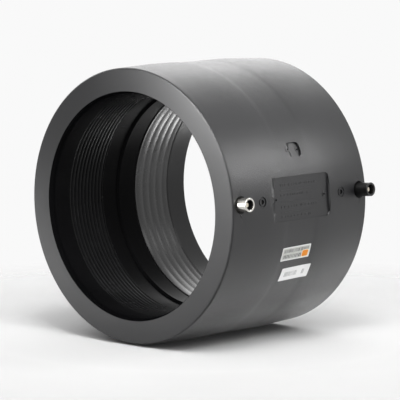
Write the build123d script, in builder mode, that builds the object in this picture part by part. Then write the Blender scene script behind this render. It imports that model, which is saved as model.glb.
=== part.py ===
from build123d import *
import os
from math import cos, radians, sin

# Electrofusion coupler for 200 mm polyethylene pipe, standing on its lower end.
# +Z is the bore axis and z = 0 is the lower end face. Both terminals point along -Y.
# Millimetres throughout. An azimuth is measured from -Y towards -X.

# Moulded body
coupler_length = 182.0
entry_radius = 101.0  # the plain guide where the pipe enters
wall_thickness = 23.0  # over that guide, at both ends
swell_rise = 1.7  # the wall tapers up from each end to a land over each coil
swell_inset = 46.0
swell_length = 20.0
waist_rise = 1.2  # what is left of the swell round the middle
waist_slope = 9.0  # length of the slope down to it
rim_bevel = 1.6

# Bore, where every step is taken from the entry's radius
mouth_step = 1.6
mouth_depth = 4.2
mouth_bevel = 0.6
coil_inset = 26.0  # from an end to its coil
coil_length = 44.0
coil_step = 0.6  # crest of the coil's turns
entry_bevel = 1.6  # length of the slope down to the coil
centre_step = 1.6  # the cold zone between the coils
stop_step = -0.6  # the ridge that stops both pipes
stop_width = 2.4
stop_bevel = 1.6

# Heating coils: coated wire wound turn against turn into a firm sleeve
coil_wall = 2.9
coil_gap = 0.1
coil_bevel = 1.3

# Wires sealed in the wall
wire_diameter = 1.2
wire_gap = 0.1
wire_depth = 3.0  # outside the coil
wire_overlap = 3.0  # how far a wire runs past a coil's end
wire_break_through = 0.5  # how far its channel opens into a coil's seat or a pin's hole
link_azimuth = 40.0

# Terminals
terminal_inset = 10.5
contact_diameter = 4.7
contact_bevel = 0.6
foot_diameter = 6.0
foot_clearance = 2.5  # from the wire's centre line to the foot
collar_diameter = 8.5
collar_thickness = 2.0
collar_height = 2.5  # above the foot's lower face
socket_floor_depth = 5.0  # below the wall
guard_outer_diameter = 12.5
guard_inner_diameter = 9.0
guard_seat_depth = 1.5  # below the socket's floor
guard_bevel = 0.4
contact_recess = 3.0  # the contact ends this far inside its guard
sleeve_rise = 10.4  # metal sleeve, above the wall
shroud_rise = 14.0  # plastic shroud, above the wall
guard_gap = 0.1
pin_gap = 0.05
terminal_recess_diameter = 15.6
terminal_recess_depth = 1.6

# Fusion indicators
indicator_inset = 37.5
indicator_diameter = 4.0
indicator_bevel = 0.5
indicator_gap = 0.2
indicator_floor = 1.5  # outside the coil
indicator_recess = 1.3
indicator_well_diameter = 9.6
indicator_well_depth = 0.9
indicator_collar_diameter = 6.8
indicator_collar_recess = 0.15

# Data panel sunk into the wall between the indicators
panel_shift = -2.0  # its centre above the middle
panel_length = 80.0
panel_width = 39.2
panel_depth = 2.0  # down its centre line
panel_ramp = 7.0  # slope at its lower end
panel_corner = 4.0
panel_mark_insets = (8.5, 6.2)  # from its lower and upper ends

# Moulding pocket above the panel
pocket_azimuth = 19.9
pocket_shift = 1.4
pocket_length = 16.4
pocket_width = 13.4
pocket_depth = 2.2
pocket_ramp = 4.6
pocket_corner = 4.0
pocket_mark_overhang = 0.8  # one mark stands this far outside the ramp
pocket_mark_inset = 2.4

# Ringed marks left by ejector pins
mark_diameter = 4.4
mark_hole_diameter = 2.1
mark_rise = 0.45
mark_depth = 2.5

# Labels glued on the wall
label_thickness = 0.12
glue_thickness = 0.05
label_corner = 0.8
data_label_size = (38.0, 12.9)
data_label_azimuth = -23.2
data_label_shift = -1.7
data_label_tilt = 1.5
batch_label_size = (37.5, 13.8)
batch_label_azimuth = -32.9
batch_label_shift = 6.0
batch_label_tilt = 2.5

# Worked out from the sizes above
middle = coupler_length / 2
end_radius = entry_radius + wall_thickness
mouth_radius = entry_radius + mouth_step
crest_radius = entry_radius + coil_step
centre_radius = entry_radius + centre_step
stop_radius = entry_radius + stop_step
coil_end = coil_inset + coil_length
coil_outer_radius = crest_radius + coil_wall
coil_seat_radius = coil_outer_radius + coil_gap
wire_radius = coil_outer_radius + wire_depth
foot_radius = wire_radius + foot_clearance
indicator_floor_radius = coil_outer_radius + indicator_floor
terminal_heights = [terminal_inset, coupler_length - terminal_inset]
indicator_heights = [indicator_inset, coupler_length - indicator_inset]
panel_start = middle + panel_shift - panel_length / 2
panel_end = panel_start + panel_length
pocket_start = middle + pocket_shift - pocket_length / 2
pocket_end = pocket_start + pocket_length
wall_clear = 8.0  # reach of a cutting shape past the wall
patch_sweep = 40.0  # degrees of wall that a label is cut from


def outward(azimuth):
    """Unit vector away from the bore axis."""
    return Vector(-sin(radians(azimuth)), -cos(radians(azimuth)), 0)


def section_plane(azimuth, height=0.0):
    """Plane through the bore axis: local x runs along +Z, local y runs outward."""
    across = (cos(radians(azimuth)), -sin(radians(azimuth)), 0)
    return Plane(origin=(0, 0, height), x_dir=(0, 0, 1), z_dir=across)


def tangent_plane(azimuth, height, radius):
    """Plane that faces outward: local x runs along +Z."""
    away = outward(azimuth)
    return Plane(origin=away * radius + Vector(0, 0, height), x_dir=(0, 0, 1), z_dir=away)


def at_end(points, upper):
    """Points given as (height, radius) from the lower end, turned over for the upper one."""
    return [(coupler_length - height, radius) for height, radius in points] if upper else points


def wall_line(offset=0.0):
    """The outer wall on a section plane, from end to end, moved outward by offset."""
    reach = end_radius + offset
    lower_half = [
        (0, reach),
        (swell_inset, reach + swell_rise),
        (swell_inset + swell_length, reach + swell_rise),
        (swell_inset + swell_length + waist_slope, reach + waist_rise),
    ]
    return Polyline(*lower_half, *at_end(lower_half[::-1], True))


def wall_radius(height):
    """Outer radius of the wall at a height."""
    upright = Axis((height, 0, 0), (0, 1, 0))
    return (wall_line() & upright).Y


def flat_recess(azimuth, start, end, ramp, width, wall, floor, corner):
    """Cut with a flat floor, a ramp at its lower end and rounded corners at its upper end."""
    with BuildPart() as recess:
        with BuildSketch(section_plane(azimuth)):
            with BuildLine():
                Polyline(
                    (start, wall + wall_clear),
                    (start, wall),
                    (start + ramp, floor),
                    (end, floor),
                    (end, wall + wall_clear),
                    close=True,
                )
            make_face()
        extrude(amount=width / 2, both=True)
        upper_end = recess.faces().sort_by(Axis.Z)[-1]
        fillet(upper_end.edges().filter_by(Axis(Vector(), outward(azimuth))), radius=corner)
    return recess.part


def wall_patch(azimuth, height, size, corner, tilt, low, high):
    """A rounded rectangle of the wall's own curve, between two offsets from it."""
    with BuildPart() as patch:
        with BuildSketch(section_plane(azimuth + patch_sweep / 2)):
            with BuildLine():
                wall_line(low)
                wall_line(high)
                Line((0, end_radius + low), (0, end_radius + high))
                Line((coupler_length, end_radius + low), (coupler_length, end_radius + high))
            make_face()
        revolve(axis=Axis.Z, revolution_arc=patch_sweep)
        with BuildSketch(tangent_plane(azimuth, height, end_radius + wall_clear)):
            RectangleRounded(*size, corner, rotation=tilt)
        extrude(amount=-2 * wall_clear, mode=Mode.INTERSECT)
    return patch.part


# Radii that follow the wall
terminal_wall_radius = wall_radius(terminal_inset)
indicator_wall_radius = wall_radius(indicator_inset)
pocket_wall_radius = wall_radius(middle)
pocket_floor_radius = pocket_wall_radius - pocket_depth
panel_floor_radius = wall_radius(middle) - panel_depth
socket_floor_radius = terminal_wall_radius - socket_floor_depth
guard_seat_radius = socket_floor_radius - guard_seat_depth


def coil_section(upper):
    """Section of one coil, whose bore is bevelled where it meets the cold zone."""
    section = [
        (coil_inset, coil_outer_radius),
        (coil_inset, crest_radius),
        (coil_end - coil_bevel, crest_radius),
        (coil_end, centre_radius),
        (coil_end, coil_outer_radius),
    ]
    return at_end(section, upper)


def terminal_piece(height, profile):
    """A round piece on a terminal's axis. Its profile is (reach from the bore axis, radius)."""
    plane = Plane(origin=(0, 0, height), x_dir=(0, -1, 0), z_dir=(1, 0, 0))
    with BuildPart() as piece:
        with BuildSketch(plane):
            with BuildLine():
                Polyline(*profile, close=True)
            make_face()
        revolve(axis=Axis((0, 0, height), (0, -1, 0)))
    return piece.part


def foot_profile(gap=0.0):
    """Foot and collar of a pin, up to the socket's floor; gap widens it into its hole."""
    foot, collar = foot_diameter / 2 + gap, collar_diameter / 2 + gap
    collar_low = foot_radius + collar_height
    collar_high = collar_low + collar_thickness
    return [
        (foot_radius, 0),
        (foot_radius, foot),
        (collar_low, foot),
        (collar_low, collar),
        (collar_high, collar),
        (collar_high, foot),
        (socket_floor_radius, foot),
    ]


def pin_profile(reach):
    """A whole pin whose contact ends at reach."""
    contact = contact_diameter / 2
    tip = reach - contact_bevel
    return [
        *foot_profile(),
        (socket_floor_radius, contact),
        (tip, contact),
        (reach, contact - contact_bevel),
        (reach, 0),
    ]


def guard_profile(reach):
    """The sleeve or shroud round a pin."""
    inner, outer = guard_inner_diameter / 2, guard_outer_diameter / 2
    rim = reach - guard_bevel
    return [
        (guard_seat_radius, inner),
        (guard_seat_radius, outer),
        (rim, outer),
        (reach, outer - guard_bevel),
        (reach, inner + guard_bevel),
        (rim, inner),
    ]


def terminal_hole_profile():
    """All that a terminal takes out of the wall: foot, ring seat for the guard and recess."""
    inner = guard_inner_diameter / 2 - guard_gap
    outer = guard_outer_diameter / 2 + guard_gap
    recess_floor = terminal_wall_radius - terminal_recess_depth
    return [
        *foot_profile(pin_gap),
        (socket_floor_radius, inner),
        (guard_seat_radius, inner),
        (guard_seat_radius, outer),
        (recess_floor, outer),
        (recess_floor, terminal_recess_diameter / 2),
        (terminal_wall_radius + wall_clear, terminal_recess_diameter / 2),
        (terminal_wall_radius + wall_clear, 0),
    ]


def indicator_profile():
    """An indicator pin, standing on the floor of its hole."""
    radius, top = indicator_diameter / 2, indicator_wall_radius - indicator_recess
    return [
        (indicator_floor_radius, 0),
        (indicator_floor_radius, radius),
        (top - indicator_bevel, radius),
        (top, radius - indicator_bevel),
        (top, 0),
    ]


def indicator_hole_profile():
    """All that an indicator takes out of the wall: its hole, a low collar and the well round it."""
    hole = indicator_diameter / 2 + indicator_gap
    collar = indicator_wall_radius - indicator_collar_recess
    well = indicator_wall_radius - indicator_well_depth
    return [
        (indicator_floor_radius, 0),
        (indicator_floor_radius, hole),
        (collar, hole),
        (collar, indicator_collar_diameter / 2),
        (well, indicator_collar_diameter / 2),
        (well, indicator_well_diameter / 2),
        (indicator_wall_radius + wall_clear, indicator_well_diameter / 2),
        (indicator_wall_radius + wall_clear, 0),
    ]


def wire(corners, azimuth, diameter):
    """A round wire along corners given as (height, radius) on a section plane."""
    with BuildPart() as run:
        with BuildLine(section_plane(azimuth)) as route:
            Polyline(*corners)
        with BuildSketch(Plane(origin=route.line @ 0, z_dir=route.line % 0)):
            Circle(diameter / 2)
        sweep(path=route.line, transition=Transition.RIGHT)
    return run.part


def lead_corners(upper, past=0.0):
    """From a pin's foot, along the wall and in to the coil; past lengthens both ends."""
    landing = coil_inset + wire_overlap
    corners = [
        (terminal_inset, foot_radius + past),
        (terminal_inset, wire_radius),
        (landing, wire_radius),
        (landing, coil_seat_radius - past),
    ]
    return at_end(corners, upper)


def link_corners(past=0.0):
    """From one coil out into the wall, across the cold zone and in to the other."""
    landing = coil_end - wire_overlap
    lower_half = [(landing, coil_seat_radius - past), (landing, wire_radius)]
    return lower_half + at_end(lower_half[::-1], True)


# The body's bore on a section plane, from the lower rim to the middle
lower_bore = [
    (0, mouth_radius + mouth_bevel),
    (mouth_bevel, mouth_radius),
    (mouth_depth, mouth_radius),
    (mouth_depth + mouth_step, entry_radius),
    (coil_inset - entry_bevel, entry_radius),
    (coil_inset, crest_radius),
    (coil_inset, coil_seat_radius),
    (coil_end, coil_seat_radius),
    (coil_end, centre_radius),
    (middle - stop_width / 2 - stop_bevel, centre_radius),
    (middle - stop_width / 2, stop_radius),
]

# Shapes that are cut out of the body
recesses = [
    flat_recess(
        0,
        panel_start,
        panel_end,
        panel_ramp,
        panel_width,
        wall_radius(panel_start),
        panel_floor_radius,
        panel_corner,
    ),
    flat_recess(
        pocket_azimuth,
        pocket_start,
        pocket_end,
        pocket_ramp,
        pocket_width,
        pocket_wall_radius,
        pocket_floor_radius,
        pocket_corner,
    ),
]
for height in terminal_heights:
    recesses.append(terminal_piece(height, terminal_hole_profile()))
for height in indicator_heights:
    recesses.append(terminal_piece(height, indicator_hole_profile()))
channel_diameter = wire_diameter + 2 * wire_gap
for upper in (False, True):
    recesses.append(wire(lead_corners(upper, wire_break_through), 0, channel_diameter))
recesses.append(wire(link_corners(wire_break_through), link_azimuth, channel_diameter))

# Ringed marks as (azimuth, height, radius of the floor they stand on)
lower_mark_inset, upper_mark_inset = panel_mark_insets
ring_marks = [
    (0, panel_start + lower_mark_inset, panel_floor_radius),
    (0, panel_end - upper_mark_inset, panel_floor_radius),
    (pocket_azimuth, pocket_start - pocket_mark_overhang, pocket_wall_radius),
    (pocket_azimuth, pocket_end - pocket_mark_inset, pocket_floor_radius),
]

with BuildPart() as coupler_body:
    with BuildSketch(section_plane(0)):
        with BuildLine():
            wall_line()
            lower_end, upper_end = (0, end_radius), (coupler_length, end_radius)
            Polyline(lower_end, *lower_bore, *at_end(lower_bore[::-1], True), upper_end)
        make_face()
    revolve(axis=Axis.Z)
    rims = coupler_body.edges().filter_by(GeomType.CIRCLE)
    for end_edges in (rims.group_by(Axis.Z)[0], rims.group_by(Axis.Z)[-1]):
        chamfer(end_edges.sort_by(SortBy.RADIUS)[-1], length=rim_bevel)
    add(recesses, mode=Mode.SUBTRACT)
    for azimuth, height, floor_radius in ring_marks:
        with BuildSketch(tangent_plane(azimuth, height, floor_radius - mark_depth)):
            Circle(mark_diameter / 2)
        extrude(amount=mark_depth + mark_rise)
        with BuildSketch(tangent_plane(azimuth, height, floor_radius - mark_depth)):
            Circle(mark_hole_diameter / 2)
        extrude(amount=mark_depth + wall_clear, mode=Mode.SUBTRACT)

pieces = {"coupler_body": coupler_body.part}

for end, upper in (("lower", False), ("upper", True)):
    with BuildPart() as coil:
        with BuildSketch(section_plane(0)):
            with BuildLine():
                Polyline(*coil_section(upper), close=True)
            make_face()
        revolve(axis=Axis.Z)
    pieces[f"{end}_coil"] = coil.part
    pieces[f"{end}_lead"] = wire(lead_corners(upper), 0, wire_diameter)

guards = {"lower": ("sleeve", sleeve_rise), "upper": ("shroud", shroud_rise)}
for height, (end, (guard, rise)) in zip(terminal_heights, guards.items()):
    reach = terminal_wall_radius + rise
    pieces[f"{end}_{guard}"] = terminal_piece(height, guard_profile(reach))
    pieces[f"{end}_pin"] = terminal_piece(height, pin_profile(reach - contact_recess))

for height, end in zip(indicator_heights, guards):
    pieces[f"{end}_indicator"] = terminal_piece(height, indicator_profile())

pieces["coil_link"] = wire(link_corners(), link_azimuth, wire_diameter)
label_layers = (glue_thickness, glue_thickness + label_thickness)
pieces["data_label"] = wall_patch(
    data_label_azimuth,
    middle + data_label_shift,
    data_label_size,
    label_corner,
    data_label_tilt,
    *label_layers,
)
pieces["batch_label"] = wall_patch(
    batch_label_azimuth,
    middle + batch_label_shift,
    batch_label_size,
    label_corner,
    batch_label_tilt,
    *label_layers,
)

os.makedirs("parts", exist_ok=True)
for name, piece in pieces.items():
    piece.label = name
    export_step(piece, f"parts/{name}.step")
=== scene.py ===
"""Electrofusion coupler: the finish of its moulding, windings, terminals and labels."""

from math import cos, pi, radians, sin

import bpy
import numpy as np
from bpy.props import FloatProperty, FloatVectorProperty, IntProperty, PointerProperty
from mathutils import Matrix, Vector


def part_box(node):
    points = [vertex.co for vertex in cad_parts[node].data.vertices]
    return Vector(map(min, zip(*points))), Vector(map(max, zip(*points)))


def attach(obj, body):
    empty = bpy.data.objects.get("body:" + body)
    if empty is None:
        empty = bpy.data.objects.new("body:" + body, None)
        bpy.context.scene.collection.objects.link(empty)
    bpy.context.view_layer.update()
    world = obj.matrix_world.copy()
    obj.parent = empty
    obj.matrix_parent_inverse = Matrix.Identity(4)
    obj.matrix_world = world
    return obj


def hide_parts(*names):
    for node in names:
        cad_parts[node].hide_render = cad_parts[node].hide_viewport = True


bl_info = {
    "name": "Electrofusion coupler",
    "version": (1, 0, 0),
    "blender": (4, 5, 0),
    "location": "View3D > Sidebar > Coupler",
    "description": "Builds the finished surfaces of an electrofusion coupler around its frame",
    "category": "Object",
}

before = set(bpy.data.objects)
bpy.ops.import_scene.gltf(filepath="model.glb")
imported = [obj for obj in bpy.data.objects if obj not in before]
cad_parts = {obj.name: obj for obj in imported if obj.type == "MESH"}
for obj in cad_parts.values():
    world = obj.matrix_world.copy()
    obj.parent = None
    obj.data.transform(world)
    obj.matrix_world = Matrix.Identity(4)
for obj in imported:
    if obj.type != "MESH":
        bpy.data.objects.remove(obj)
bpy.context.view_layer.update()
body_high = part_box("coupler_body")[1]

# Windings get this many steps round, and small turned pieces a third of it
STEPS_ROUND = 192
STEPS_PER_TURN = 12

# Sizes of the frame's own pieces, in metres
COIL_WALL = 0.0029
GUARD_BORE = 0.0045
PIN_FOOT_RADIUS = 0.003
PIN_CONTACT_RADIUS = 0.00235
PIN_COLLAR_SPAN = (0.0025, 0.0045)
PIN_FOOT_LENGTH = 0.009388
WALL_DROP_AT_PANEL = 0.0005
PANEL_DEPTH = 0.0020

# Edges sharper than these stay sharp in the shading
MOULDING_SHARP = radians(18)
BAR_SHARP = radians(30)
TERMINAL_SHARP = radians(40)
WINDING_SHARP = radians(50)


# ---------------------------------------------------------------- sizes and colours


def length(name, description, default):
    """A length property in metres."""
    return FloatProperty(name=name, description=description, default=default, unit="LENGTH", precision=5)


def colour(name, description, default):
    """A linear colour property."""
    return FloatVectorProperty(
        name=name, description=description, default=default, subtype="COLOR", min=0, max=1
    )


def shine(name, description, default):
    """A specular level, which is 0.5 on plain plastic and lower on a part in deep shade."""
    return FloatProperty(name=name, description=description, default=default, min=0, max=1)


class MouldingSizes(bpy.types.PropertyGroup):
    """Moulded body"""

    plastic: colour("Plastic", "Colour of the moulding", (0.0085, 0.0085, 0.0095))
    grain: length("Grain", "Size of the grain on the wall", 0.0011)
    # Painted shade: inside the bore limit the plastic is darker, with its specular level lowered most below
    # the upper coil's end
    bore_limit: length("Bore limit", "Radius inside which the plastic is smooth", 0.1047)
    lower_shine: shine("Lower shine", "Specular level of the bore below the upper coil's end", 0.02)
    upper_shine: shine("Upper shine", "Specular level of the bore above it", 0.30)


class WindingSizes(bpy.types.PropertyGroup):
    """Heating coils"""

    coating: colour("Coating", "Colour of the wire's coating", (0.008, 0.008, 0.0085))
    fine_turns: IntProperty(name="Fine turns", description="Turns of the lower winding", default=10)
    broad_turns: IntProperty(name="Broad turns", description="Turns of the upper winding", default=5)
    groove: length("Groove", "Depth between two turns", 0.00042)
    # Painted shade: the lower winding's specular level is near zero and the upper one's about plain
    # plastic's, as shaded and lit copies of one coating
    lower_shine: shine("Lower shine", "Specular level of the lower winding", 0.03)
    upper_shine: shine("Upper shine", "Specular level of the upper winding", 0.55)


class TerminalSizes(bpy.types.PropertyGroup):
    """Terminals and indicators"""

    sleeve: colour("Sleeve", "Colour of the metal sleeve", (0.60, 0.585, 0.55))
    contact: colour("Contact", "Colour of the contacts", (0.78, 0.72, 0.60))
    shroud: colour("Shroud", "Colour of the plastic shroud", (0.004, 0.004, 0.004))
    edge_round: length("Edge round", "Rounding of the rims", 0.0004)


class LabelSizes(bpy.types.PropertyGroup):
    """Labels"""

    paper: colour("Paper", "Colour of the label film", (0.80, 0.80, 0.80))
    ground: colour("Ground", "Colour behind the rows of bars", (0.46, 0.48, 0.44))
    ground_pale: colour("Pale ground", "Paler patches of that colour", (0.62, 0.62, 0.60))
    ink: colour("Ink", "Colour of the bars", (0.060, 0.060, 0.070))
    halo: colour("Halo", "Colour round the square", (0.86, 0.72, 0.50))
    square: colour("Square", "Colour of the square", (0.80, 0.25, 0.006))
    bar_rise: length("Bar rise", "Height of the raised bars on the panel", 0.00025)


class StageSizes(bpy.types.PropertyGroup):
    """Camera, floor and lamps"""

    lens: FloatProperty(name="Lens", description="Focal length in millimetres", default=249.23)
    pale: FloatProperty(name="Pale", description="Brightness of the background", default=0.947)
    ground: FloatProperty(name="Ground", description="Paleness of the floors", default=0.76)
    fill: FloatProperty(name="Fill", description="Strength of the light from all round", default=0.32)


GROUPS = {
    "coupler_moulding": MouldingSizes,
    "coupler_winding": WindingSizes,
    "coupler_terminal": TerminalSizes,
    "coupler_label": LabelSizes,
    "coupler_stage": StageSizes,
}


# ---------------------------------------------------------------- shader helpers


class Maths:
    """A number on a shader socket: arithmetic on it adds Math nodes."""

    def __init__(self, shader, socket):
        self.shader, self.socket = shader, socket

    def run(self, operation, *others):
        """Result of a Math node on this number and up to two others."""
        values = [self.socket, *(o.socket if isinstance(o, Maths) else o for o in others)]
        node = self.shader.node("Math", {"operation": operation}, dict(enumerate(values)))
        return Maths(self.shader, node.outputs[0])

    def flipped(self, operation, other):
        """The same with this number as the second value."""
        node = self.shader.node("Math", {"operation": operation}, {0: other, 1: self.socket})
        return Maths(self.shader, node.outputs[0])

    def __add__(self, other):
        return self.run("ADD", other)

    def __radd__(self, other):
        return self.flipped("ADD", other)

    def __sub__(self, other):
        return self.run("SUBTRACT", other)

    def __rsub__(self, other):
        return self.flipped("SUBTRACT", other)

    def __mul__(self, other):
        return self.run("MULTIPLY", other)

    def __rmul__(self, other):
        return self.flipped("MULTIPLY", other)

    def __truediv__(self, other):
        return self.run("DIVIDE", other)

    def __abs__(self):
        return self.run("ABSOLUTE")

    def fold(self):
        """Fraction part."""
        return self.run("FRACT")

    def floor(self):
        """Whole part."""
        return self.run("FLOOR")

    def below(self, edge, soft):
        """1 under edge and 0 above it, over a soft step."""
        return ((edge - self) / soft + 0.5).clamp()

    def between(self, low, high, soft=0.00006):
        """1 from low to high and 0 outside, over soft steps."""
        return self.below(high, soft) * (1 - self.below(low, soft))

    def clamp(self):
        """Held between 0 and 1."""
        return self.run("MAXIMUM", 0.0).run("MINIMUM", 1.0)


class Shader:
    """A material's node tree with one method that makes any node."""

    def __init__(self, name):
        self.material = bpy.data.materials.new(name)
        self.material.use_nodes = True
        self.tree = self.material.node_tree
        self.tree.nodes.clear()

    def node(self, kind, settings, values):
        """A node of a kind, with its settings made first and then its sockets' values or links."""
        node = self.tree.nodes.new("ShaderNode" + kind)
        for name, value in settings.items():
            if name == "stops":
                ramp = node.color_ramp
                for place, (position, shade) in enumerate(value):
                    stop = ramp.elements[place] if place < 2 else ramp.elements.new(position)
                    stop.position = position
                    stop.color = (*shade, 1) if isinstance(shade, tuple) else (shade, shade, shade, 1)
            else:
                setattr(node, name, value)
        for name, value in values.items():
            socket = node.inputs[name]
            value = value.socket if isinstance(value, Maths) else value
            if isinstance(value, bpy.types.NodeSocket):
                self.tree.links.new(value, socket)
            elif socket.type == "RGBA" and len(value) == 3:
                socket.default_value = (*value, 1)
            else:
                socket.default_value = value
        return node

    def position(self):
        """Object coordinates in metres as a vector socket."""
        return self.node("TexCoord", {}, {}).outputs["Object"]

    def axes(self, vector):
        """The three numbers of a vector."""
        node = self.node("SeparateXYZ", {}, {0: vector})
        return [Maths(self, out) for out in node.outputs]

    def noise(self, vector, size, detail=2.0, roughness=0.5):
        """Noise from 0 to 1 with features of a size in metres."""
        values = {"Vector": vector, "Scale": 1 / size, "Detail": detail, "Roughness": roughness}
        return Maths(self, self.node("TexNoise", {}, values).outputs["Fac"])

    def ramp(self, number, *stops):
        """A number spread over stops of (position, value)."""
        node = self.node("ValToRGB", {"stops": stops}, {0: number})
        return Maths(self, node.outputs["Color"])

    def dice(self, number):
        """A random number from 0 to 1 for each whole number."""
        node = self.node("TexWhiteNoise", {"noise_dimensions": "1D"}, {"W": number})
        return Maths(self, node.outputs["Value"])

    def bars(self, along, pitch, thin, thick):
        """1 on bars of a pitch, each of a random share of it between thin and thick."""
        cell = along / pitch
        share = self.dice(cell.floor()) * (thick - thin) + thin
        return abs(cell.fold() - 0.5).below(share / 2, 0.00006 / pitch)

    def rounded(self, along, across, size, corner, soft=0.00008):
        """1 inside a rounded rectangle about 0, by the distance from its corner arcs' box."""
        beyond = [
            (abs(value) - (full / 2 - corner)).run("MAXIMUM", 0.0)
            for value, full in ((along, size[0]), (across, size[1]))
        ]
        distance = (beyond[0] * beyond[0] + beyond[1] * beyond[1]).run("SQRT")
        return distance.below(corner, soft)

    def mix(self, factor, first, second):
        """A colour between two others."""
        node = self.node("Mix", {"data_type": "RGBA"}, {0: factor, 6: first, 7: second})
        return node.outputs[2]

    def bump(self, height, distance):
        """A normal from a height of 0 to 1 that stands for a distance in metres."""
        return self.node("Bump", {}, {"Height": height, "Distance": distance}).outputs[0]

    def finish(self, **values):
        """A Principled surface with these sockets, joined to the output."""
        values = {name.replace("_", " "): value for name, value in values.items()}
        surface = self.node("BsdfPrincipled", {}, values)
        self.node("OutputMaterial", {}, {"Surface": surface.outputs[0]})
        return self.material


# ---------------------------------------------------------------- mesh helpers


def mesh_object(name, points, faces, material, replaced=()):
    """A smooth-shaded piece from arrays of points and faces, riding on the root body.

    The faces are turned outward, which the sign of the volume that they close shows: the
    sum over faces of a corner's dot product with the cross product of the diagonals.
    """
    points = points.reshape(-1, 3)
    corner = points[faces]
    diagonals = np.cross(corner[:, 2] - corner[:, 0], corner[:, 3] - corner[:, 1])
    if (corner[:, 0] * diagonals).sum() < 0:
        faces = faces[:, ::-1]
    mesh = bpy.data.meshes.new(name)
    mesh.from_pydata(points.tolist(), [], faces.tolist())
    mesh.polygons.foreach_set("use_smooth", np.ones(len(mesh.polygons), bool))
    mesh.materials.append(material)
    mesh.update()
    piece = bpy.data.objects.new(name, mesh)
    bpy.context.scene.collection.objects.link(piece)
    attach(piece, "root")
    if replaced:
        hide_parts(*replaced)
    return piece


def grid_faces(rows, columns, close_rows=False, close_columns=False):
    """Quads of a grid of rows by columns points, closed on itself where asked."""
    row = np.arange(rows if close_rows else rows - 1)[:, None]
    column = np.arange(columns if close_columns else columns - 1)[None, :]
    next_row, next_column = (row + 1) % rows, (column + 1) % columns
    corners = [
        row * columns + column,
        row * columns + next_column,
        next_row * columns + next_column,
        next_row * columns + column,
    ]
    return np.stack(np.broadcast_arrays(*corners), axis=-1).reshape(-1, 4)


def rounded_outline(corners, radius, steps=5):
    """A closed outline whose corners are arcs.

    At each corner the arc touches both sides at radius * tan(turn / 2) from it and is
    sampled at equal steps of the turn. A corner with a radius of 0 stays a point.
    """
    corners = np.array(corners, float)
    radii = np.broadcast_to(radius, len(corners))
    outline = []
    for here, before, after, size in zip(corners, np.roll(corners, 1, 0), np.roll(corners, -1, 0), radii):
        come, leave = here - before, after - here
        come, leave = come / np.hypot(*come), leave / np.hypot(*leave)
        turn = np.arctan2(come[0] * leave[1] - come[1] * leave[0], come @ leave)
        if size == 0 or abs(turn) < 1e-6:
            outline.append(here[None])
            continue
        start = here - come * size * abs(np.tan(turn / 2))
        centre = start + np.array((-come[1], come[0])) * size * np.sign(turn)
        angles = np.linspace(0, turn, steps + 1)[:, None]
        spoke = start - centre
        across = np.array((-spoke[1], spoke[0]))
        outline.append(centre + spoke * np.cos(angles) + across * np.sin(angles))
    return np.concatenate(outline)


def turned(outline, height, closed=False):
    """Points of an outline of (reach, radius) turned about a terminal's axis at a height.

    The axis runs along -Y, so a point is (radius sin a, -reach, height + radius cos a).
    """
    angle = np.linspace(0, 2 * pi, STEPS_ROUND // 3, endpoint=False)[:, None]
    reach, radius = outline[:, 0], outline[:, 1]
    points = np.stack(
        np.broadcast_arrays(radius * np.sin(angle), -reach + 0 * angle, height + radius * np.cos(angle)), -1
    )
    return points, grid_faces(len(angle), len(outline), True, closed)


# ---------------------------------------------------------------- materials


def moulded_plastic(name, colour_value, grain):
    """Black polyethylene: orange peel on the wall and turned end faces."""
    s = Shader(name)
    place = s.position()
    x, y, z = s.axes(place)
    radius = (x * x + y * y).run("SQRT")
    end_face = z.below(0.0005, 0.0002) + (body_high.z - z).below(0.0005, 0.0002)
    wall = 1 - end_face
    patches = s.noise(place, 0.055, 3.0)
    mottle = s.noise(place, 0.0045, 2.0)
    peel = s.noise(place, grain, 3.0, 0.6)
    fine = s.noise(place, grain / 4, 2.0)
    along = s.node("CombineXYZ", {}, {0: radius}).outputs[0]
    rings = s.noise(along, 0.0006, 2.0)
    base = s.mix(patches, tuple(0.8 * c for c in colour_value), tuple(1.2 * c for c in colour_value))
    rough = 0.35 - wall * 0.02 + (patches - 0.5) * 0.16 + (mottle - 0.5) * 0.10 * wall
    height = (peel * 0.75 + fine * 0.25) * wall + rings * end_face * 0.12
    return s.finish(
        Base_Color=base,
        Roughness=rough,
        Specular_IOR_Level=0.48,
        Normal=s.bump(height, 0.00022),
    )


def bore_plastic_painted_shade(name, colour_value, level):
    """The same plastic off a polished core: smooth, with faint marks round the bore. Its colour is darkened
    to 0.3 to 0.5 of the plastic's as painted shade, and the specular level it is given is lowered as painted
    shade.
    """
    s = Shader(name)
    place = s.position()
    along = s.node("CombineXYZ", {}, {2: s.axes(place)[2]}).outputs[0]
    rings = s.noise(along, 0.0011, 3.0)
    patches = s.noise(place, 0.03, 3.0)
    # Painted shade: the colour is 0.3 to 0.5 of the plastic's, darker than the wall's 0.8 to 1.2
    base = s.mix(patches, tuple(0.3 * c for c in colour_value), tuple(0.5 * c for c in colour_value))
    rough = 0.24 + (patches - 0.5) * 0.08 + (rings - 0.5) * 0.06
    return s.finish(
        Base_Color=base,
        Roughness=rough,
        Specular_IOR_Level=level,
        Normal=s.bump(rings, 0.00002),
    )


def winding_coat(name, colour_value, level):
    """Smooth coating of the windings, streaked along the turns."""
    s = Shader(name)
    place = s.position()
    streak = s.noise(place, 0.012, 2.0)
    base = s.mix(streak, tuple(0.8 * c for c in colour_value), tuple(1.2 * c for c in colour_value))
    rough = 0.26 + (streak - 0.5) * 0.12
    return s.finish(
        Base_Color=base,
        Roughness=rough,
        Specular_IOR_Level=level,
        Normal=s.bump(s.noise(place, 0.002), 0.00003),
    )


def bright_metal(name, colour_value, roughness):
    """Drawn metal with fine turning marks round the terminal's axis."""
    s = Shader(name)
    place = s.position()
    along = s.node("CombineXYZ", {}, {1: s.axes(place)[1]}).outputs[0]
    rings = s.noise(along, 0.0004)
    rough = roughness + (rings - 0.5) * 0.12
    return s.finish(
        Base_Color=(*colour_value, 1), Metallic=1.0, Roughness=rough, Normal=s.bump(rings, 0.00001)
    )


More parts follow.
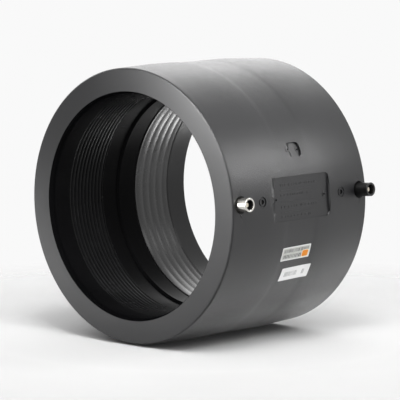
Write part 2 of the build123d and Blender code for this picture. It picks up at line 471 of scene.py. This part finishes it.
def plain_finish(name, colour_value, roughness, metallic=0.0):
    """A plain finish with a little unevenness."""
    s = Shader(name)
    cloud = s.noise(s.position(), 0.0015)
    rough = roughness + (cloud - 0.5) * 0.12
    return s.finish(
        Base_Color=(*colour_value, 1),
        Metallic=metallic,
        Roughness=rough,
        Normal=s.bump(cloud, 0.00002),
    )


# ---------------------------------------------------------------- pieces


def corner_arrays(mesh):
    """Corner points and corner normals of a mesh of triangles, as (faces, 3, 3) arrays."""
    corner_vertex = np.empty(len(mesh.loops), np.int32)
    mesh.loops.foreach_get("vertex_index", corner_vertex)
    points = np.empty(len(mesh.vertices) * 3, np.float32)
    mesh.vertices.foreach_get("co", points)
    normals = np.empty(len(mesh.loops) * 3, np.float32)
    mesh.corner_normals.foreach_get("vector", normals)
    points = points.reshape(-1, 3)[corner_vertex].reshape(-1, 3, 3)
    return points.astype(float), normals.reshape(-1, 3, 3).astype(float)


def blended_sections(corners, across, lengths):
    """Section normals at the corners of turned faces, rounded over the bevels.

    At each corner of the section the normals of the lines that meet there, within 50
    degrees of the face's own, are added, each times its length. A bevel hardly counts, so
    it takes its neighbours' normals and looks like a rounding.
    """
    bevel = (lengths < 0.0026) & (np.abs(across[:, 0] * across[:, 1]) > 0.3)
    weight = np.where(bevel, 1e-3, 1.0) * lengths
    keys, place = np.unique(np.round(corners.reshape(-1, 2) * 1e5), axis=0, return_inverse=True)
    place = place.reshape(-1, 3)
    blended = np.repeat(across[:, None], 3, 1)
    for key in range(len(keys)):
        face, corner = np.nonzero(place == key)
        lines, line = np.unique(np.round(across[face], 2), axis=0, return_inverse=True)
        line = line.ravel()
        first = np.array([face[line == n][0] for n in range(len(lines))])
        near = across[first] @ across[first].T > cos(radians(50))
        total = (near * weight[first][None, :]) @ across[first]
        total /= np.linalg.norm(total, axis=1)[:, None]
        blended[face, corner] = total[line]
    return blended


def revolved_normals(mesh):
    """Corner normals of a body turned about Z, from the flat faces it was cut into.

    A face belongs to a turned surface when its three corners, as (radius, height), lie on
    one straight line: the area that they close there is next to nothing against the line's
    length. Each corner then takes the line's normal at its own bearing. Other faces keep
    the normals that Blender gives them.
    """
    points, normals = corner_arrays(mesh)
    flat = np.cross(points[:, 1] - points[:, 0], points[:, 2] - points[:, 0])
    flat /= np.maximum(np.linalg.norm(flat, axis=1), 1e-12)[:, None]
    radius = np.hypot(points[..., 0], points[..., 1])
    bearing = points[..., :2] / radius[..., None]
    middle = bearing.mean(1) / np.linalg.norm(bearing.mean(1), axis=1)[:, None]
    slope = np.stack(((flat[:, :2] * middle).sum(1), flat[:, 2]), -1)

    section = np.stack((radius, points[..., 2]), -1)
    sides = np.roll(section, -1, 1) - section
    lengths = np.linalg.norm(sides, axis=2)
    longest = np.take_along_axis(sides, lengths.argmax(1)[:, None, None], 1)[:, 0]
    line = longest / np.maximum(lengths.max(1), 1e-9)[:, None]
    across = np.stack((line[:, 1], -line[:, 0]), -1)
    across *= np.sign((across * slope).sum(1))[:, None]
    offset = np.ptp((section * across[:, None]).sum(2), axis=1)
    agrees = (across * slope).sum(1) > cos(radians(4))
    span = (bearing @ middle[:, :, None])[..., 0].min(1)
    turned_face = (offset < 4e-6) & agrees & (lengths.max(1) > 1e-5) & (span > cos(radians(3)))
    blended = blended_sections(section[turned_face], across[turned_face], lengths.max(1)[turned_face])
    outward = bearing[turned_face] * blended[..., :1]
    normals[turned_face] = np.concatenate((outward, blended[..., 1:]), -1)
    return normals.reshape(-1, 3)


class COUPLER_OT_moulding(bpy.types.Operator):
    """Moulded body with smooth walls over the frame's own shape"""

    bl_idname = "coupler.moulding"
    bl_label = "Moulding"

    def execute(self, context):
        sizes = context.scene.coupler_moulding
        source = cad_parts["coupler_body"]
        mesh = source.data.copy()
        mesh.name = "moulding"
        piece = bpy.data.objects.new("moulding", mesh)
        context.scene.collection.objects.link(piece)
        context.view_layer.objects.active = piece
        for other in context.selected_objects:
            other.select_set(False)
        piece.select_set(True)
        bpy.ops.object.mode_set(mode="EDIT")
        bpy.ops.mesh.select_all(action="SELECT")
        bpy.ops.mesh.remove_doubles(threshold=1e-6)
        bpy.ops.object.mode_set(mode="OBJECT")
        mesh.polygons.foreach_set("use_smooth", np.ones(len(mesh.polygons), bool))
        mesh.set_sharp_from_angle(angle=MOULDING_SHARP)
        mesh.normals_split_custom_set(revolved_normals(mesh).tolist())
        mesh.materials.clear()
        mesh.materials.append(moulded_plastic("moulded plastic", sizes.plastic, sizes.grain))
        # Painted shade: the bore takes darkened copies of the plastic, the part below the upper coil's end
        # with a specular level near zero and the part above it with a lowered one
        mesh.materials.append(bore_plastic_painted_shade("bore plastic", sizes.plastic, sizes.lower_shine))
        mesh.materials.append(bore_plastic_painted_shade("upper bore plastic", sizes.plastic, sizes.upper_shine))
        points = corner_arrays(mesh)[0]
        inside = np.hypot(points[..., 0], points[..., 1]).mean(1) < sizes.bore_limit
        above = points[..., 2].mean(1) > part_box("upper_coil")[1].z - 0.0001
        mesh.polygons.foreach_set("material_index", (inside * (1 + above)).astype(np.int32))
        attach(piece, "root")
        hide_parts("coupler_body")
        return {"FINISHED"}


class COUPLER_OT_windings(bpy.types.Operator):
    """Heating coils wound turn against turn"""

    bl_idname = "coupler.windings"
    bl_label = "Windings"

    def execute(self, context):
        sizes = context.scene.coupler_winding
        # The lower coat's near-zero specular level is painted shade
        for node, turns, bevel_low, level in (
            ("lower_coil", sizes.fine_turns, False, sizes.lower_shine),
            ("upper_coil", sizes.broad_turns, True, sizes.upper_shine),
        ):
            coat = winding_coat(node.replace("_", " ") + " coat", sizes.coating, level)
            self.wind(node, turns, bevel_low, sizes.groove, coat)
        return {"FINISHED"}

    def wind(self, node, turns, bevel_low, groove, coat):
        """One coil as a closed surface.

        Its bore runs from end to end at radius crest + groove * (1 - |sin(pi * phase)| ** p),
        where phase counts turns along Z less one for each time round and p is 0.5 for fine
        turns and 0.9 for broad ones. The groove fades at both ends, where one end has a
        bevel. Its back is plain.
        """
        low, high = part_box(node)
        back = high.x
        crest = back - COIL_WALL
        inset = 0.00002
        rows = turns * STEPS_PER_TURN
        rise = np.linspace(low.z, high.z, rows + 1)[None, :]
        angle = np.linspace(0, 2 * pi, STEPS_ROUND, endpoint=False)[:, None]
        phase = turns * (rise - low.z) / (high.z - low.z) - angle / (2 * pi)
        wave = 1 - np.abs(np.sin(pi * phase)) ** (0.5 if turns > 6 else 0.9)
        from_end = (rise - low.z) if bevel_low else (high.z - rise)
        bevel = np.clip(1 - from_end / 0.0013, 0, 1) * 0.001
        both_ends = np.minimum(rise - low.z, high.z - rise)
        settle = np.clip(both_ends / 0.0012, 0, 1)
        radius = crest + inset + groove * wave * settle + bevel
        radius = np.concatenate((radius, np.full((STEPS_ROUND, 2), back)), 1)
        level = np.broadcast_to(rise, (STEPS_ROUND, rows + 1))
        level = np.concatenate(
            (level, np.full((STEPS_ROUND, 1), high.z), np.full((STEPS_ROUND, 1), low.z)), 1
        )
        points = np.stack((radius * np.cos(angle), radius * np.sin(angle), level), -1)
        faces = grid_faces(STEPS_ROUND, rows + 3, True, True)
        piece = mesh_object(node.replace("coil", "winding"), points, faces, coat, (node,))
        piece.data.set_sharp_from_angle(angle=WINDING_SHARP)


class COUPLER_OT_terminals(bpy.types.Operator):
    """Sleeve, shroud, contacts and fusion indicators"""

    bl_idname = "coupler.terminals"
    bl_label = "Terminals"

    def execute(self, context):
        sizes = context.scene.coupler_terminal
        metal = bright_metal("sleeve metal", sizes.sleeve, 0.22)
        contact = bright_metal("contact metal", sizes.contact, 0.28)
        shroud = plain_finish("shroud plastic", sizes.shroud, 0.30)
        dark = plain_finish("indicator plastic", sizes.shroud, 0.40)
        wire = plain_finish("copper wire", (0.72, 0.45, 0.30), 0.3, 1.0)
        for node, material, slot in (
            ("lower_sleeve", metal, "sleeve_metal"),
            ("upper_shroud", shroud, "shroud_plastic"),
        ):
            self.guard(node, material, dark, slot, sizes.edge_round)
        for node in ("lower_pin", "upper_pin"):
            self.contact(node, contact, sizes.edge_round)
        for node in ("lower_indicator", "upper_indicator"):
            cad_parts[node].data.materials.clear()
            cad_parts[node].data.materials.append(dark)
        for node in ("lower_lead", "upper_lead", "coil_link"):
            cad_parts[node].data.materials.clear()
            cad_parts[node].data.materials.append(wire)
        return {"FINISHED"}

    def guard(self, node, material, inside_material, slot, edge_round):
        """A tube with rounded rims, from its seat in the wall to its open end, dark inside."""
        low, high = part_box(node)
        outer, height = high.x, (low.z + high.z) / 2
        corners = [(-high.y, outer), (-low.y, outer), (-low.y, GUARD_BORE), (-high.y, GUARD_BORE)]
        outline = rounded_outline(corners, [0, edge_round, edge_round, 0])
        points, faces = turned(outline, height, True)
        piece = mesh_object(node + "_tube", points, faces, material, (node,))
        piece.data.set_sharp_from_angle(angle=TERMINAL_SHARP)
        # The faces inside the tube take the dark material, on the metal sleeve as well
        piece.data.materials.append(inside_material)
        centres = np.empty(len(piece.data.polygons) * 3, np.float32)
        piece.data.polygons.foreach_get("center", centres)
        centres = centres.reshape(-1, 3)
        inside = np.hypot(centres[:, 0], centres[:, 2] - height) < GUARD_BORE + 0.0001
        piece.data.polygons.foreach_set("material_index", inside.astype(np.int32))

    def contact(self, node, material, edge_round):
        """A pin with a foot, a collar and a rounded tip."""
        low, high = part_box(node)
        height = (low.z + high.z) / 2
        foot_low, tip = -high.y, -low.y
        collar, foot, contact = high.x, PIN_FOOT_RADIUS, PIN_CONTACT_RADIUS
        collar_low, collar_high = (foot_low + reach for reach in PIN_COLLAR_SPAN)
        floor = foot_low + PIN_FOOT_LENGTH
        corners = [
            (foot_low, 0.00001),
            (foot_low, foot),
            (collar_low, foot),
            (collar_low, collar),
            (collar_high, collar),
            (collar_high, foot),
            (floor, foot),
            (floor, contact),
            (tip, contact),
            (tip, 0.00001),
        ]
        outline = rounded_outline(corners, [0, 0, 0, 0, 0, 0, 0, 0, 2 * edge_round, 0])
        points, faces = turned(outline, height, True)
        piece = mesh_object(node + "_contact", points, faces, material, (node,))
        piece.data.set_sharp_from_angle(angle=TERMINAL_SHARP)


class COUPLER_OT_panel_marks(bpy.types.Operator):
    """Raised bars on the data panel's floor"""

    bl_idname = "coupler.panel_marks"
    bl_label = "Panel marks"

    def execute(self, context):
        sizes = context.scene.coupler_label
        rows = ((0.0125, 0.0022), (0.0078, 0.0006), (0.0036, 0.0020), (-0.0020, 0.0006))
        rows += ((-0.0068, 0.0022), (-0.0118, 0.0006), (-0.0155, 0.0020))
        boxes = np.concatenate([self.row(*row, seed) for seed, row in enumerate(rows)])
        floor = -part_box("coupler_body")[0].x - WALL_DROP_AT_PANEL - PANEL_DEPTH
        points, faces = self.blocks(boxes, floor, sizes.bar_rise)
        material = moulded_plastic("panel bar plastic", context.scene.coupler_moulding.plastic, 0.0008)
        piece = mesh_object("panel_bars", points, faces, material)
        piece.data.set_sharp_from_angle(angle=BAR_SHARP)
        return {"FINISHED"}

    def row(self, across, width, seed):
        """Boxes as (low along, high along, low across, high across) of one row of bars.

        Lengths and gaps are random, and the bars start where the running sum of both puts
        them. A thin row is one long line.
        """
        start, stop = 0.0645, 0.1165
        dice = np.random.default_rng(seed + 3)
        if width < 0.001:
            low, high = np.array([start]), np.array([stop - dice.uniform(0, 0.012)])
        else:
            lengths = dice.uniform(0.0011, 0.0040, 40)
            gaps = dice.uniform(0.0007, 0.0017, 40)
            low = start + np.concatenate(([0], np.cumsum(lengths + gaps)[:-1]))
            high = low + lengths
            keep = high < stop - dice.uniform(0, 0.016)
            low, high = low[keep], high[keep]
        sides = np.broadcast_to((across - width / 2, across + width / 2), (len(low), 2))
        return np.concatenate((low[:, None], high[:, None], sides), 1)

    def blocks(self, boxes, floor, rise):
        """Closed blocks with sloping sides on a floor at -Y.

        Their corners are those of the box, drawn in by a share of the rise at the top.
        """
        draft = 0.35 * rise
        along, across = boxes[:, [0, 1, 1, 0]], boxes[:, [2, 2, 3, 3]]
        inward = np.array((1, -1, -1, 1)) * draft, np.array((1, 1, -1, -1)) * draft
        low = np.stack((-across, 0 * across - floor + 0.0001, along), -1)
        high = np.stack((-across - inward[1], 0 * across - floor - rise, along + inward[0]), -1)
        points = np.concatenate((low, high), 1)
        block = np.array(((0, 1, 2, 3), (7, 6, 5, 4), (0, 4, 5, 1), (1, 5, 6, 2), (2, 6, 7, 3), (3, 7, 4, 0)))
        faces = (block[None] + 8 * np.arange(len(boxes))[:, None, None]).reshape(-1, 4)
        return points, faces


class COUPLER_OT_labels(bpy.types.Operator):
    """Two glued labels with generic bars"""

    bl_idname = "coupler.labels"
    bl_label = "Labels"

    def execute(self, context):
        sizes = context.scene.coupler_label
        for node, paint in (("data_label", self.data_film), ("batch_label", self.batch_film)):
            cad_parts[node].data.materials.clear()
            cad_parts[node].data.materials.append(paint(node, sizes))
        return {"FINISHED"}

    def axes(self, s, node, azimuth, tilt):
        """Distances from the label's middle, along its length and across it.

        Along is Z and across is the tangent (-cos azimuth, sin azimuth), both turned by
        the tilt.
        """
        low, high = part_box(node)
        x, y, z = s.axes(s.position())
        azimuth, tilt = radians(azimuth), radians(tilt)
        rise = z - (low.z + high.z) / 2
        side = y * sin(azimuth) - x * cos(azimuth)
        return rise * cos(tilt) + side * sin(tilt), side * cos(tilt) - rise * sin(tilt)

    def film(self, s, colour_socket):
        """Coated paper with a little unevenness."""
        cloud = s.noise(s.position(), 0.0011)
        rough = 0.42 + (cloud - 0.5) * 0.16
        return s.finish(
            Base_Color=colour_socket,
            Roughness=rough,
            Specular_IOR_Level=0.15,
            Normal=s.bump(cloud, 0.00002),
        )

    def data_film(self, node, sizes):
        """A white border, a grey ground, two rows of bars and an orange square."""
        s = Shader("data label film")
        along, across = self.axes(s, node, -23.2, 1.5)
        ground = s.rounded(along, across, (0.0362, 0.0110), 0.0006)
        fine = s.bars(along, 0.00118, 0.35, 0.85) * across.between(0.0011, 0.0043)
        fine = fine * along.between(-0.0168, 0.0166)
        broad = s.bars(along, 0.0020, 0.35, 0.70) * across.between(-0.0044, -0.0009)
        broad = broad * along.between(-0.0168, 0.0076)
        halo = s.rounded(along - 0.0129, across + 0.0020, (0.0092, 0.0072), 0.0016)
        square = s.rounded(along - 0.0129, across + 0.0020, (0.0076, 0.0058), 0.0012)
        pale = s.mix(s.noise(s.position(), 0.004), tuple(sizes.ground), tuple(sizes.ground_pale))
        tone = s.mix(ground, tuple(sizes.paper), pale)
        tone = s.mix((fine * 0.75).run("MAXIMUM", broad * 0.9), tone, tuple(sizes.ink))
        tone = s.mix(halo, tone, tuple(sizes.halo))
        return self.film(s, s.mix(square, tone, tuple(sizes.square)))

    def batch_film(self, node, sizes):
        """White, with a short row of pale bars and one apart."""
        s = Shader("batch label film")
        along, across = self.axes(s, node, -32.9, 2.5)
        row = s.bars(along, 0.00155, 0.30, 0.75) * across.between(-0.0027, 0.0023)
        row = row * along.between(-0.0140, 0.0032).run("MAXIMUM", along.between(0.0095, 0.0128))
        return self.film(s, s.mix(row * 0.62, tuple(sizes.paper), tuple(sizes.ink)))


# ---------------------------------------------------------------- stage


def camera_ray_share(tree):
    """1 for rays that see the background directly, in a gloss or through glass."""
    path = tree.nodes.new("ShaderNodeLightPath")
    share = None
    for name in ("Is Camera Ray", "Is Glossy Ray", "Is Transmission Ray"):
        if share is None:
            share = path.outputs[name]
            continue
        node = tree.nodes.new("ShaderNodeMath")
        node.operation = "MAXIMUM"
        tree.links.new(share, node.inputs[0])
        tree.links.new(path.outputs[name], node.inputs[1])
        share = node.outputs[0]
    return share


class COUPLER_OT_stage(bpy.types.Operator):
    """Camera, floors, world and lamps"""

    bl_idname = "coupler.stage"
    bl_label = "Stage"

    def execute(self, context):
        sizes = context.scene.coupler_stage
        self.camera(context.scene, sizes)
        self.world(context.scene, sizes)
        self.floors(context.scene, sizes)
        self.lamps(context.scene)
        context.scene.view_settings.view_transform = "Standard"
        return {"FINISHED"}

    def camera(self, scene, sizes):
        """A long lens that looks past both the lower end and the terminals."""
        data = bpy.data.cameras.new("camera")
        data.lens = sizes.lens
        data.sensor_width = 36
        data.clip_end = 20
        camera = bpy.data.objects.new("camera", data)
        right = Vector((0.0631967, -0.7338247, 0.6763930)).normalized()
        ahead = Vector((0.0601907, 0.6793165, 0.7313728))
        ahead = (ahead - right * ahead.dot(right)).normalized()
        over = right.cross(ahead)
        place = Vector((-0.1508455, -1.7262347, -1.7658404))
        camera.matrix_world = Matrix.Translation(place) @ Matrix((right, over, -ahead)).transposed().to_4x4()
        scene.collection.objects.link(camera)
        scene.camera = camera

    def world(self, scene, sizes):
        """Pale where it is seen, and dimmer as a light."""
        world = bpy.data.worlds.new("studio")
        world.use_nodes = True
        tree = world.node_tree
        tree.nodes.clear()
        back = tree.nodes.new("ShaderNodeBackground")
        out = tree.nodes.new("ShaderNodeOutputWorld")
        mix = tree.nodes.new("ShaderNodeMix")
        mix.data_type = "RGBA"
        mix.inputs[6].default_value = (sizes.fill, sizes.fill, sizes.fill, 1)
        mix.inputs[7].default_value = (sizes.pale, sizes.pale, sizes.pale, 1)
        tree.links.new(camera_ray_share(tree), mix.inputs[0])
        tree.links.new(mix.outputs[2], back.inputs[0])
        tree.links.new(back.outputs[0], out.inputs[0])
        scene.world = world

    def floors(self, scene, sizes):
        """Two pale floors, each seen only from its upper side.

        One is under the lower end face. The other is under the wall, for the view in
        which the coupler lies on its side.
        """
        upright = (Vector((0, 0, -0.0004)), Vector((0, 0, 1)))
        lying_up = Vector((-0.9964, -0.085, 0)).normalized()
        lying = (Vector((0, 0, body_high.z / 2)) - lying_up * 0.1257, lying_up)
        for name, (place, normal), lit in (("floor", upright, False), ("ground", lying, True)):
            self.floor(scene, name, place, normal, lit, sizes.ground)

    def floor(self, scene, name, place, normal, lit, pale):
        """A disc that fades out into the background and can't be seen from behind."""
        rings = np.array((0.0, 0.2, 0.5, 1.0, 2.0, 3.0))
        angle = np.linspace(0, 2 * pi, 64, endpoint=False)[:, None]
        across = normal.orthogonal().normalized()
        other = normal.cross(across)
        flat = np.stack((rings * np.cos(angle), rings * np.sin(angle)), -1)
        points = np.array(place) + flat[..., :1] * np.array(across) + flat[..., 1:] * np.array(other)
        faces = grid_faces(64, len(rings), True)
        mesh = bpy.data.meshes.new(name)
        mesh.from_pydata(points.reshape(-1, 3).tolist(), [], faces.tolist())
        s = Shader(name + " paint")
        s.material.node_tree.nodes.clear()
        centre = s.node("VectorMath", {"operation": "DISTANCE"}, {0: s.position(), 1: tuple(place)})
        away = Maths(s, centre.outputs["Value"])
        behind = Maths(s, s.node("NewGeometry", {}, {}).outputs["Backfacing"])
        fade = s.ramp(away, (0.20, 0.0), (0.50, 1.0))
        hidden = behind.run("MAXIMUM", fade)
        paint = s.node("BsdfDiffuse", {}, {"Color": (pale, pale, pale)})
        clear = s.node("BsdfTransparent", {}, {})
        mixed = s.node("MixShader", {}, {0: hidden, 1: paint.outputs[0], 2: clear.outputs[0]})
        s.node("OutputMaterial", {}, {"Surface": mixed.outputs[0]})
        mesh.materials.append(s.material)
        piece = bpy.data.objects.new(name, mesh)
        scene.collection.objects.link(piece)
        piece.visible_shadow = False
        piece.visible_diffuse = lit
        piece.visible_glossy = lit
        piece.visible_transmission = lit

    def lamps(self, scene):
        """Lamps that the camera doesn't see: place, aim, width, spread in degrees and watts.

        Three large ones light the whole. The others stand about where the wall and the
        end face mirror them toward the camera, and two of them are below the floor.
        """
        middle = (0, 0, 0.09)
        for name, place, aim, width, spread, power in (
            ("top lamp", (-1.494, -0.008, 0.221), middle, 1.4, 180, 7.0),
            ("front lamp", (-0.931, -0.84, -0.734), middle, 1.4, 180, 14.0),
            ("back lamp", (-0.863, 0.791, 1.028), middle, 1.4, 180, 5.8),
            ("left lamp", (-0.898, -0.527, -0.398), middle, 0.4, 40, 0.35),
            ("low lamp", (-0.703, -0.895, -0.073), middle, 0.4, 40, 0.25),
            ("glow lamp", (-0.17, -0.385, 0.359), (-0.033, -0.12, 0.024), 0.09, 40, 0.030),
            ("under lamp", (0.60, 0.10, 0.95), (0.093, -0.08, 0.16), 0.4, 60, 0.75),
            ("floor side lamp", (0.50, -0.60, 0.75), (0.03, -0.11, 0.05), 0.4, 60, 0.04),
            ("streak lamp", (-0.661, -0.742, 0.669), middle, 0.4, 40, 0.05),
            ("crown lamp", (-0.604, 0.516, 0.89), (-0.117, -0.042, 0.08), 0.4, 60, 0.09),
            ("face lamp", (-0.143, 0.188, -0.452), (-0.17, -0.118, -0.123), 0.09, 50, 0.37),
            ("face lamp 2", (-0.058, 0.185, -0.449), (-0.085, -0.121, -0.119), 0.09, 50, 0.034),
            ("face lamp 3", (0.112, 0.427, -0.21), (0.085, 0.121, 0.119), 0.09, 50, 0.026),
            ("face lamp 4", (0.027, 0.181, -0.445), (0.0, -0.125, -0.116), 0.09, 50, 0.023),
            ("face lamp 5", (0.112, 0.302, -0.325), (0.085, -0.003, 0.004), 0.09, 50, 0.016),
            ("face lamp 6", (0.027, 0.43, -0.213), (0.0, 0.125, 0.116), 0.09, 50, 0.014),
        ):
            data = bpy.data.lights.new(name, "AREA")
            data.size = width
            data.spread = radians(spread)
            data.energy = power
            lamp = bpy.data.objects.new(name, data)
            beam = Vector(aim) - Vector(place)
            lamp.matrix_world = Matrix.Translation(place) @ beam.to_track_quat("-Z", "Y").to_matrix().to_4x4()
            lamp.visible_camera = False
            scene.collection.objects.link(lamp)


class COUPLER_PT_panel(bpy.types.Panel):
    """Sizes and pieces of the coupler"""

    bl_idname = "COUPLER_PT_panel"
    bl_label = "Electrofusion coupler"
    bl_space_type = "VIEW_3D"
    bl_region_type = "UI"
    bl_category = "Coupler"

    def draw(self, context):
        for group in GROUPS:
            for name in GROUPS[group].__annotations__:
                self.layout.prop(getattr(context.scene, group), name)
        for operator in OPERATORS:
            self.layout.operator(operator.bl_idname)


OPERATORS = (
    COUPLER_OT_stage,
    COUPLER_OT_moulding,
    COUPLER_OT_windings,
    COUPLER_OT_terminals,
    COUPLER_OT_panel_marks,
    COUPLER_OT_labels,
)


def register():
    """Adds the classes and the scene's size groups."""
    for group in (*GROUPS.values(), *OPERATORS, COUPLER_PT_panel):
        bpy.utils.register_class(group)
    for name, group in GROUPS.items():
        setattr(bpy.types.Scene, name, PointerProperty(type=group))


def unregister():
    """Takes them out again."""
    for name in GROUPS:
        delattr(bpy.types.Scene, name)
    for group in (COUPLER_PT_panel, *reversed(OPERATORS), *reversed(GROUPS.values())):
        bpy.utils.unregister_class(group)


def main():
    """Builds every piece."""
    register()
    bpy.ops.coupler.stage()
    bpy.ops.coupler.moulding()
    bpy.ops.coupler.windings()
    bpy.ops.coupler.terminals()
    bpy.ops.coupler.panel_marks()
    bpy.ops.coupler.labels()


if __name__ == "__main__":
    main()
